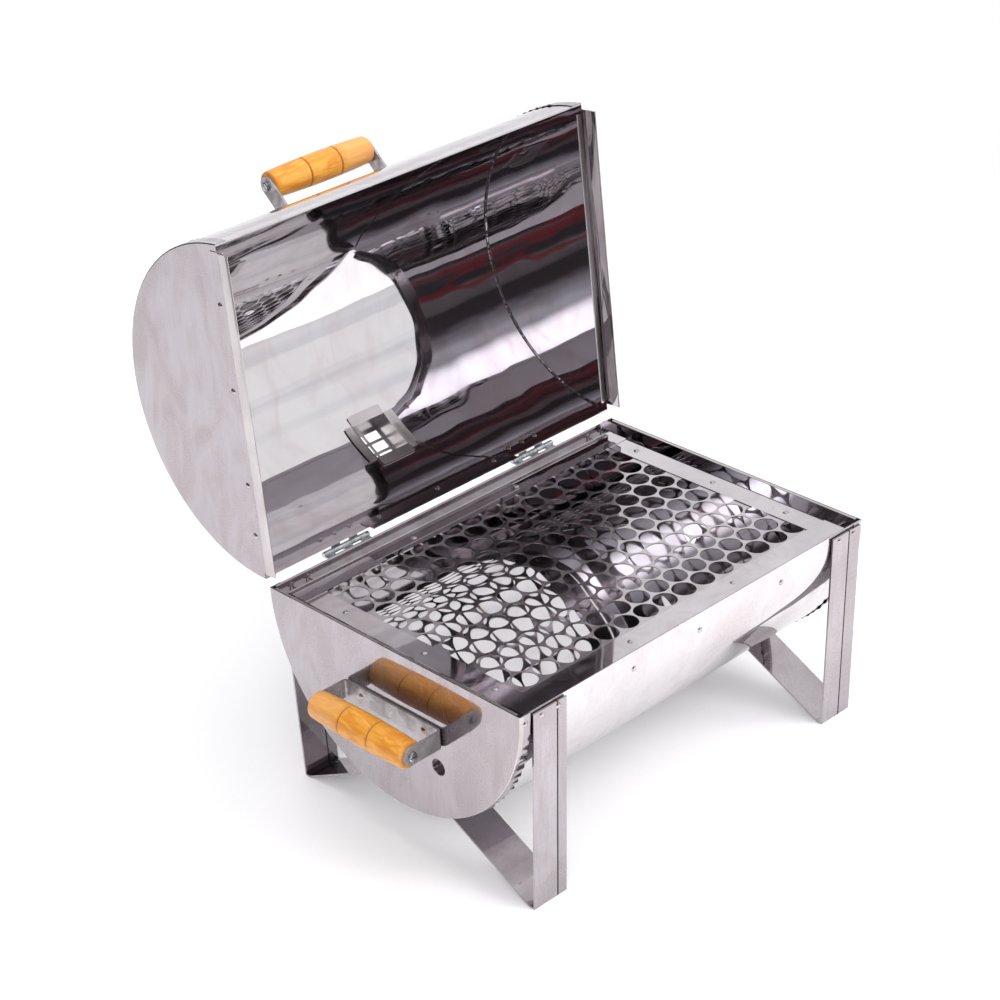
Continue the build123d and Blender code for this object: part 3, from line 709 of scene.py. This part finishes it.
def dull_bar(name):
    """Flat bar dulled all over: satin grey, rubbed along its length, with a few darker marks."""
    s = Surface(name)
    marks = s.noise(60, detail=3, rough=0.6, warp=0.8)
    rub = s.noise(1, detail=2, place=s.stretched((60, 60, 900)))
    colour = s.mix(s.ramp(marks, 0.42, 0.66), (0.47, 0.44, 0.45), (0.33, 0.305, 0.30))
    colour = s.mix(s.ramp(rub, 0.50, 0.66, 0, 0.35), colour, (0.24, 0.22, 0.22))
    roughness = s.ramp(marks, 0.35, 0.7, 0.22, 0.40)
    s.look(metallic=0.55, base_color=colour, roughness=roughness, normal=s.bump(marks, 0.0001, 0.5))
    return s.material


def zinc(name):
    """Zinc plating: cool grey, matt, with a faint spangle and fine ribs across the knuckles."""
    s = Surface(name)
    spangle = s.noise(220, detail=2)
    ribs = s.noise(1, detail=1, place=s.stretched((60, 1400, 1400)))
    colour = s.mix(s.ramp(spangle, 0.35, 0.65), (0.40, 0.42, 0.44), (0.64, 0.65, 0.66))
    roughness = s.ramp(s.noise(90, detail=3), 0.3, 0.7, 0.20, 0.38)
    s.look(metallic=1.0, base_color=colour, roughness=roughness, normal=s.bump(ribs, 0.0001, 0.6))
    return s.material


def dirt_and_shade(name):
    """Painted shade at the bottom of a folded seam: near-black, with a mottled, bumpy texture."""
    s = Surface(name)
    shade_mottle = s.noise(600, detail=3)
    colour = s.mix(s.ramp(shade_mottle, 0.35, 0.7), (0.02, 0.018, 0.018), (0.09, 0.075, 0.07))
    roughness = s.ramp(shade_mottle, 0.3, 0.7, 0.55, 0.8)
    s.look(base_color=colour, roughness=roughness, normal=s.bump(shade_mottle, 0.0002, 0.5))
    return s.material


def rivet_metal(name):
    """Rivet heads: bright metal, some of them coppery, with grime round the rims."""
    s = Surface(name)
    copper = s.ramp(s.speckle(45), 0.68, 0.85)
    colour = s.mix(copper, (0.58, 0.54, 0.55), (0.46, 0.27, 0.17))
    dirt_and_shade = s.ramp(s.noise(420, detail=3), 0.45, 0.7)
    colour = s.mix(s.math("MULTIPLY", dirt_and_shade, 0.35), colour, (0.20, 0.16, 0.14))
    roughness = s.ramp(dirt_and_shade, 0, 1, 0.18, 0.45)
    s.look(metallic=0.95, base_color=colour, roughness=roughness, normal=s.bump(dirt_and_shade, 0.0001, 0.5))
    return s.material


def wood(name, node):
    """Turned and varnished wood with its grain along the grip, and burnt grooves."""
    low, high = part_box(node)
    centre = (low + high) / 2
    size = high - low
    along = max(range(3), key=lambda n: size[n])
    s = Surface(name)
    grain_scale = [620.0, 620.0, 620.0]
    grain_scale[along] = 26.0
    grain = s.noise(1, detail=5, rough=0.65, warp=0.6, place=s.stretched(grain_scale, centre))
    band_scale = [110.0, 110.0, 110.0]
    band_scale[along] = 24.0
    bands = s.noise(1, detail=4, rough=0.6, warp=1.2, place=s.stretched(band_scale, centre))
    colour = s.mix(s.ramp(bands, 0.36, 0.62), (0.78, 0.365, 0.055), (0.63, 0.235, 0.023))
    colour = s.mix(s.ramp(grain, 0.5, 0.72, 0, 0.55), colour, (0.50, 0.19, 0.03))
    position = s.axis(s.stretched((1, 1, 1), centre), along)
    half = size[along] / 2
    pale = s.ramp(position, half * 0.2, half * 0.55, 0, 0.38)
    colour = s.mix(pale, colour, (0.78, 0.44, 0.20))
    off_groove = s.math("ABSOLUTE", s.math("SUBTRACT", s.math("ABSOLUTE", position), GROOVE_AT))
    burnt = s.ramp(off_groove, GROOVE_HALF * 0.3, GROOVE_HALF * 0.85, 0.9, 0)
    colour = s.mix(burnt, colour, (0.20, 0.075, 0.02))
    end_grain = s.ramp(s.math("ABSOLUTE", position), half - 0.0025, half, 0, 0.4)
    colour = s.mix(end_grain, colour, (0.45, 0.20, 0.06))
    roughness = s.ramp(grain, 0.3, 0.8, 0.38, 0.6)
    s.look(
        base_color=colour,
        roughness=roughness,
        coat_weight=0.25,
        coat_roughness=0.2,
        specular_ior_level=0.35,
        normal=s.bump(grain, 0.00025, 0.5),
    )
    return s.material


def leg_steel(name, node, offset):
    """The outside sheet's steel with the dark line of the folded strip's seam."""
    low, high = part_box(node)
    material = plate_steel.copy()
    material.name = name
    s = Surface.of(material)
    position = s.axis(s.stretched((1, 1, 1), (low + high) / 2), 0)
    off_seam = s.math("ABSOLUTE", s.math("SUBTRACT", position, offset))
    from_rim = s.stretched((1, 1, 1), (0, trough.axis_y, trough.edge_z))
    outward = s.math("ABSOLUTE", s.axis(from_rim, 1))
    outward = s.math("SUBTRACT", outward, s.math("MULTIPLY", s.axis(from_rim, 2), LEG_LEAN))
    outer_strip = s.ramp(outward, trough.radius - 0.001, trough.radius)
    seam = s.math("MULTIPLY", s.ramp(off_seam, 0.0006, 0.0013, 0.92, 0), outer_strip)
    beyond = s.math("MULTIPLY", s.ramp(position, offset + 0.0012, offset + 0.002, 0, 0.25), outer_strip)
    rolled = s.ramp(s.noise(1, detail=2, place=s.stretched((330, 330, 2.5))), 0.50, 0.68, 0, 0.5)
    for node in [n for n in s.nodes if n.type == "BSDF_PRINCIPLED"]:
        colour = node.inputs["Base Color"].links[0].from_socket
        lined = s.mix(rolled, colour, (0.40, 0.36, 0.37))
        darker = s.mix(beyond, lined, (0.34, 0.31, 0.32))
        s.set(node.inputs["Base Color"], s.mix(seam, darker, (0.04, 0.035, 0.035)))
    return material


def floor_paint(name):
    """Plain pale studio paper with a barely visible tooth. Mirrors that see it in a mirror see it dimmer."""
    s = Surface(name)
    tooth = s.noise(240, detail=3)
    colour = s.mix(s.ramp(tooth, 0.3, 0.7), (0.885, 0.885, 0.89), (0.905, 0.905, 0.91))
    mirrors = s.nodes.new("ShaderNodeLightPath").outputs["Glossy Depth"]
    twice = s.ramp(mirrors, 1.2, 1.8)
    colour = s.mix(twice, colour, (0.27, 0.26, 0.28))
    glow = s.ramp(twice, 0, 1, 0.10, 0.01)
    s.look(base_color=colour, roughness=0.75, emission_color=(1, 1, 1), emission_strength=glow)
    s.look(normal=s.bump(tooth, 0.0002, 0.1))
    return s.material


# Plates and legs are smudged, the skins brighter, the inside nearly a clean mirror and the lid's back strip
# satin. The grate's strips are clean and its punched web hazier, the ledges under it are toned darker
# as painted shade, and sheet worked at folds, lips and the vent is dull all over. Weld beads are bright
# with a heat tint.
plate_steel = steel(
    "smudged_stainless", (0.50, 0.465, 0.49), (0.43, 0.385, 0.40), clear=0.12, hazy=0.30, cloud=0.28,
    wave=0.0008, lines=1.0,
)
skin_steel = steel(
    "outside_stainless", (0.745, 0.71, 0.725), (0.66, 0.615, 0.63), clear=0.09, hazy=0.22, cloud=0.28,
    wave=0.0006, lines=0.8,
)
inside_steel = steel(
    "mirror_stainless", (0.72, 0.695, 0.71), (0.66, 0.63, 0.645), clear=0.0, hazy=0.05, cloud=0.20,
    wave=0.0005, lines=0.2,
)
strip_steel = steel(
    "satin_stainless", (0.58, 0.53, 0.55), (0.47, 0.42, 0.435), clear=0.20, hazy=0.50, cloud=0.26,
    wave=0.0004, lines=1.4,
)
grate_steel = steel(
    "grate_stainless", (0.66, 0.63, 0.645), (0.56, 0.525, 0.54), clear=0.0, hazy=0.10, cloud=0.20,
    wave=0.0004, lines=0.8,
)
web_steel = steel(
    "perforated_stainless", (0.62, 0.59, 0.605), (0.50, 0.465, 0.48), clear=0.28, hazy=0.52, cloud=0.30,
    wave=0.0003, lines=1.2,
)
# The ledges' darker tone is painted shade from the grate above them.
shaded_ledge_steel = steel(
    "shaded_ledge_stainless", (0.42, 0.395, 0.41), (0.34, 0.31, 0.32), clear=0.02, hazy=0.12, cloud=0.24,
    wave=0.0004, lines=0.8,
)
worked_steel = steel(
    "worked_stainless", (0.68, 0.64, 0.65), (0.55, 0.505, 0.50), clear=0.62, hazy=0.88, cloud=0.32,
    wave=0.0003, lines=1.4,
)
bead_steel = steel(
    "weld_stainless", (0.74, 0.71, 0.72), (0.50, 0.46, 0.44), clear=0.20, hazy=0.60, cloud=0.28,
    wave=0.0003, lines=0.6,
)
hinge_zinc = zinc("zinc_plate")
# Painted shade for the bottoms of folded seams and grooves.
painted_seam_shade = dirt_and_shade("painted_seam_shade")
bracket_steel = dull_bar("dull_bar")
rivet_steel = rivet_metal("rivet_metal")


def paint_cad_nodes():
    """Give every carried-over CAD node its material."""
    for node, piece in frame["nodes"].items():
        if "grip" in node:
            material = wood("wood_" + node, node)
        elif "rivets" in node:
            material = rivet_steel
        elif "hinge" in node or "screws" in node:
            material = hinge_zinc
        elif node.endswith("_leg"):
            offset = RIGHT_SEAM if "right" in node else LEFT_SEAM
            material = leg_steel("steel_" + node, node, offset)
        elif node == "grate_sheet":
            material = web_steel
        elif node.startswith("grate"):
            material = grate_steel
        elif node.endswith("bracket"):
            material = bracket_steel
        elif "vent" in node:
            material = worked_steel
        elif node.endswith("grate_ledge"):
            material = shaded_ledge_steel
        else:
            material = strip_steel
        piece.data.materials.clear()
        piece.data.materials.append(material)


# --- The rebuilt sheet pieces -----------------------------------------------------------------------------


class Vent:
    """The square duct in the lid: its direction about the lid's axis, its half width and its reach."""

    def __init__(self):
        duct = frame["nodes"]["lid_vent_duct"].data.vertices
        points = np.array([SHUTTING @ v.co for v in duct])
        about = points - np.array([0, lid.axis_y, lid.axis_z])
        radii = np.hypot(about[:, 1], about[:, 2])
        outside = about[radii > lid.radius + 0.001]
        turns = np.arctan2(outside[:, 2], outside[:, 1])
        self.angle = float(turns.min() + turns.max()) / 2
        self.half = float(outside[:, 0].max() - outside[:, 0].min()) / 2
        self.flange = float(about[:, 0].max()) - self.half
        across = outside[:, 1] * math.cos(self.angle) + outside[:, 2] * math.sin(self.angle)
        self.reach = float(across.max())

    def window(self):
        """X and angle limits of the lid's cut-out."""
        spread = math.asin(self.half / lid.radius) + 0.0002
        return (-self.half, self.half), (self.angle - spread, self.angle + spread)

    def point(self, u, v, w):
        """U along the lid, v round it and w outwards from the lid's axis."""
        y = lid.axis_y + w * math.cos(self.angle) - v * math.sin(self.angle)
        z = lid.axis_z + w * math.sin(self.angle) + v * math.cos(self.angle)
        return OPENING @ Vector((u, y, z))


def vent_duct_piece():
    """The duct: four walls, and four tabs folded out over the lid's inside that stand off it a little."""
    vent = Vent()
    inner_skin = lid.radius - SHEET - TOUCH
    vertices = []
    faces = []

    def add(outer, inner):
        kept = [[True] * (len(outer[0]) - 1) for _ in range(len(outer) - 1)]
        found, new_faces, _ = shell(outer, inner, kept)
        first = len(vertices)
        vertices.extend(found)
        faces.extend(tuple(v + first for v in face) for face in new_faces)

    def turned(quarter, out, along, w):
        """A point on one of the four sides: out from the duct's middle and along the side."""
        u, v = ((out, along), (along, out), (-out, along), (along, -out))[quarter]
        return vent.point(u, v, w)

    def skin_height(quarter, out, along):
        v = along if quarter in (0, 2) else out
        return math.sqrt(inner_skin ** 2 - v ** 2)

    for quarter in range(4):
        rows = []
        inner_rows = []
        length = vent.half if quarter in (0, 2) else vent.half - SHEET
        for along in np.linspace(-length, length, 13):
            foot = skin_height(quarter, vent.half, along) - TAB_LIFT
            wall = [(vent.half, vent.reach), (vent.half, foot + 0.0012)]
            back = [(vent.half - SHEET, vent.reach), (vent.half - SHEET, foot - SHEET * 0.5)]
            wall.append((vent.half + 0.0004, foot + 0.0003))
            back.append((vent.half + 0.0002, foot - SHEET))
            for share in TAB_SHARES:
                out = vent.half + vent.flange * share * (1 - 0.06 * abs(along / length) ** 6)
                curl = TAB_LIFT * (1 + 0.7 * share ** 2)
                height = skin_height(quarter, out, along) - curl
                wall.append((out, height + SHEET * 0.1))
                back.append((out, height - SHEET * 0.9))
            rows.append([turned(quarter, out, along, w) for out, w in wall])
            inner_rows.append([turned(quarter, out, along, w) for out, w in back])
        add(rows, inner_rows)
    piece = new_piece("lid_vent_duct_sheet", vertices, faces, "lid", [worked_steel])
    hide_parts("lid_vent_duct")


def air_holes():
    """Centres and radius of the draught holes, from the middle of the opening's edge.

    They are read from the CAD plate: the lowest hole on each side, among the holes away from its edges."""
    points = [v.co for v in frame["nodes"]["left_end_plate"].data.vertices]
    places = [Vector((p.y - trough.axis_y, p.z - trough.edge_z)) for p in points]
    axis = Vector((0, trough.axis_z - trough.edge_z))
    inner = [p for p in places if p.y < -NEAR_OPENING and (p - axis).length < trough.radius - NEAR_RIM]
    holes = []
    for side in (-1, 1):
        ring = [p for p in inner if p.x * side > 0]
        bottom = min(ring, key=lambda p: p.y)
        ring = [p for p in ring if (p - bottom).length < AIR_HOLE_SPAN]
        low = Vector((min(p.x for p in ring), min(p.y for p in ring)))
        high = Vector((max(p.x for p in ring), max(p.y for p in ring)))
        holes.append(((low + high) / 2, (high.x - low.x) / 2))
    return holes


def leg_spans():
    """Angles where the right legs' strips press the flange flat: near both rims and under the inner tabs."""
    bottom = 1.5 * math.pi
    return [
        (math.pi, math.pi + LEG_PRESS),
        (2 * math.pi - LEG_PRESS, 2 * math.pi),
        (bottom - TAB_TO, bottom - TAB_FROM),
        (bottom + TAB_FROM, bottom + TAB_TO),
    ]


def build_sheet():
    """Every rebuilt piece. The number after a side is the piece's seed."""
    skin_piece("trough_skin_sheet", "trough_skin", trough, "trough", 3)
    skin_piece("lid_skin_sheet", "lid_skin", lid, "lid", 8, SKIN_HEM, Vent().window())
    holes = air_holes()
    spans = leg_spans()
    end_plate_piece("left_end_sheet", "left_end_plate", trough, -1, 11, PLEAT_HEIGHT, END_HEM, holes)
    end_plate_piece("right_end_sheet", "right_end_plate", trough, 1, 12, PLEAT_HEIGHT, END_HEM, holes, spans)
    end_plate_piece("lid_left_end_sheet", "lid_left_end_plate", lid, -1, 13, PLEAT_HEIGHT / 2, LID_END_HEM)
    end_plate_piece("lid_right_end_sheet", "lid_right_end_plate", lid, 1, 14, PLEAT_HEIGHT, LID_END_HEM)
    vent_duct_piece()
    lip_piece("lid_left_lip_sheet", "lid_left_lip", -1, 31)
    lip_piece("lid_right_lip_sheet", "lid_right_lip", 1, 32)
    weld_bead("lid_left_weld", -1, 21)
    weld_bead("lid_right_weld", 1, 22)


# --- Studio -----------------------------------------------------------------------------------------------

CAMERA_AZIMUTH = -42.89    # degrees
CAMERA_ELEVATION = 28.51
CAMERA_ROLL = -2.94
CAMERA_DISTANCE = 2.8274   # metres
CAMERA_LENS = 92.45        # millimetres, as the sensor's width is
CAMERA_SENSOR = 36
AIM_FROM_RIM = Vector((0.09015, 0.1977, -0.0463))
WINDOW_WAY = (-0.64, -0.31, 0.70)    # towards the one bright window that mirrors see
FLOOR_HALF = 1.6


def add_floor():
    mesh = bpy.data.meshes.new("floor")
    half = FLOOR_HALF
    corners = [(-half, -half, 0), (half, -half, 0), (half, half, 0), (-half, half, 0)]
    mesh.from_pydata(corners, [], [(0, 1, 2, 3)])
    mesh.materials.append(floor_paint("studio_floor"))
    floor = bpy.data.objects.new("floor", mesh)
    bpy.context.scene.collection.objects.link(floor)
    floor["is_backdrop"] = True


def add_camera():
    azimuth = math.radians(CAMERA_AZIMUTH)
    elevation = math.radians(CAMERA_ELEVATION)
    roll = math.radians(CAMERA_ROLL)
    back = Vector((
        math.sin(azimuth) * math.cos(elevation),
        -math.cos(azimuth) * math.cos(elevation),
        math.sin(elevation),
    ))
    right = Vector((math.cos(azimuth), math.sin(azimuth), 0))
    up = back.cross(right)
    tilted_right = right * math.cos(roll) + up * math.sin(roll)
    tilted_up = up * math.cos(roll) - right * math.sin(roll)
    turn = Matrix((tilted_right, tilted_up, back)).transposed()
    data = bpy.data.cameras.new("camera")
    data.lens = CAMERA_LENS
    data.sensor_width = CAMERA_SENSOR
    camera = bpy.data.objects.new("camera", data)
    aim = Vector((0, trough.axis_y, trough.edge_z)) + AIM_FROM_RIM
    camera.matrix_world = Matrix.Translation(aim + back * CAMERA_DISTANCE) @ turn.to_4x4()
    bpy.context.scene.collection.objects.link(camera)
    bpy.context.scene.camera = camera


def add_softbox(name, place, aim, width, height, power):
    """A soft light. Only matt surfaces take it, and polished ones don't show it."""
    data = bpy.data.lights.new(name, "AREA")
    data.shape = "RECTANGLE"
    data.size = width
    data.size_y = height
    data.energy = power
    light = bpy.data.objects.new(name, data)
    light.visible_glossy = False
    direction = Vector(place) - Vector(aim)
    light.matrix_world = Matrix.Translation(place) @ direction.to_track_quat("Z", "Y").to_matrix().to_4x4()
    bpy.context.scene.collection.objects.link(light)


def add_world():
    """A pale studio. Mirrors see it bright to the right and overhead, dim and cluttered elsewhere."""
    world = bpy.data.worlds.new("studio")
    world.use_nodes = True
    bpy.context.scene.world = world
    s = Surface.of(world)
    output = s.nodes["World Output"]
    direction = s.place.node.outputs["Generated"]
    s.place = direction
    lit_side = s.ramp(s.axis(direction, 0), 0.0, 0.4, 0.0, 1.0)
    lit_above = s.ramp(s.axis(direction, 2), 0.78, 0.92, 0.0, 1.0)
    lit = s.math("MAXIMUM", lit_side, lit_above)
    shelves = s.noise(1, detail=2, rough=0.5, warp=0.7, place=s.stretched((1.7, 1.7, 4.6)))
    things = s.noise(1, detail=2, warp=0.4, place=s.stretched((4, 4, 7), (3, 1, 0)))
    dim = s.mix(s.ramp(shelves, 0.47, 0.66), (0.050, 0.042, 0.049), (0.50, 0.47, 0.51))
    dim = s.mix(s.ramp(s.axis(direction, 2), 0.25, 0.60, 0.7, 0), dim, (0.035, 0.030, 0.034))
    dim = s.mix(s.ramp(things, 0.60, 0.64, 0, 0.8), dim, (0.15, 0.024, 0.034))
    towards = s.nodes.new("ShaderNodeVectorMath")
    towards.operation = "DOT_PRODUCT"
    s.set(towards.inputs[0], direction)
    towards.inputs[1].default_value = Vector(WINDOW_WAY).normalized()
    nearness = towards.outputs["Value"]
    dim = s.mix(s.ramp(nearness, 0.88, 0.98, 0, 0.8), dim, (0.55, 0.56, 0.63))
    dim = s.mix(s.ramp(nearness, 0.978, 0.998), dim, (2.2, 2.2, 2.4))
    pale = s.mix(s.ramp(shelves, 0.36, 0.50), (0.86, 0.87, 0.91), (1.02, 1.02, 1.04))
    room = s.nodes.new("ShaderNodeBackground")
    s.set(room.inputs["Color"], s.mix(lit, dim, pale))
    backdrop = s.nodes.new("ShaderNodeBackground")
    s.set(backdrop.inputs["Color"], (1.0, 1.0, 1.0))
    seen = s.nodes.new("ShaderNodeMixShader")
    s.set(seen.inputs[0], s.nodes.new("ShaderNodeLightPath").outputs["Is Camera Ray"])
    s.links.new(room.outputs[0], seen.inputs[1])
    s.links.new(backdrop.outputs[0], seen.inputs[2])
    s.links.new(seen.outputs[0], output.inputs["Surface"])


paint_cad_nodes()
build_sheet()
add_floor()
add_camera()
add_world()
middle = (cad_box[0] + cad_box[1]) / 2
add_softbox("key", (1.1, -2.4, 2.2), middle, 2.4, 2.0, 72)
add_softbox("fill", (-2.4, -1.9, 1.9), middle, 2.4, 2.0, 52)
add_softbox("top", (-0.6, 0.6, 3.0), middle, 3.0, 3.0, 40)
bpy.context.scene.view_settings.view_transform = "Standard"

visual_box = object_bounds()
boxes = {"cad": cad_box, "visual": visual_box}
{name: [list(corner) for corner in box] for name, box in boxes.items()}
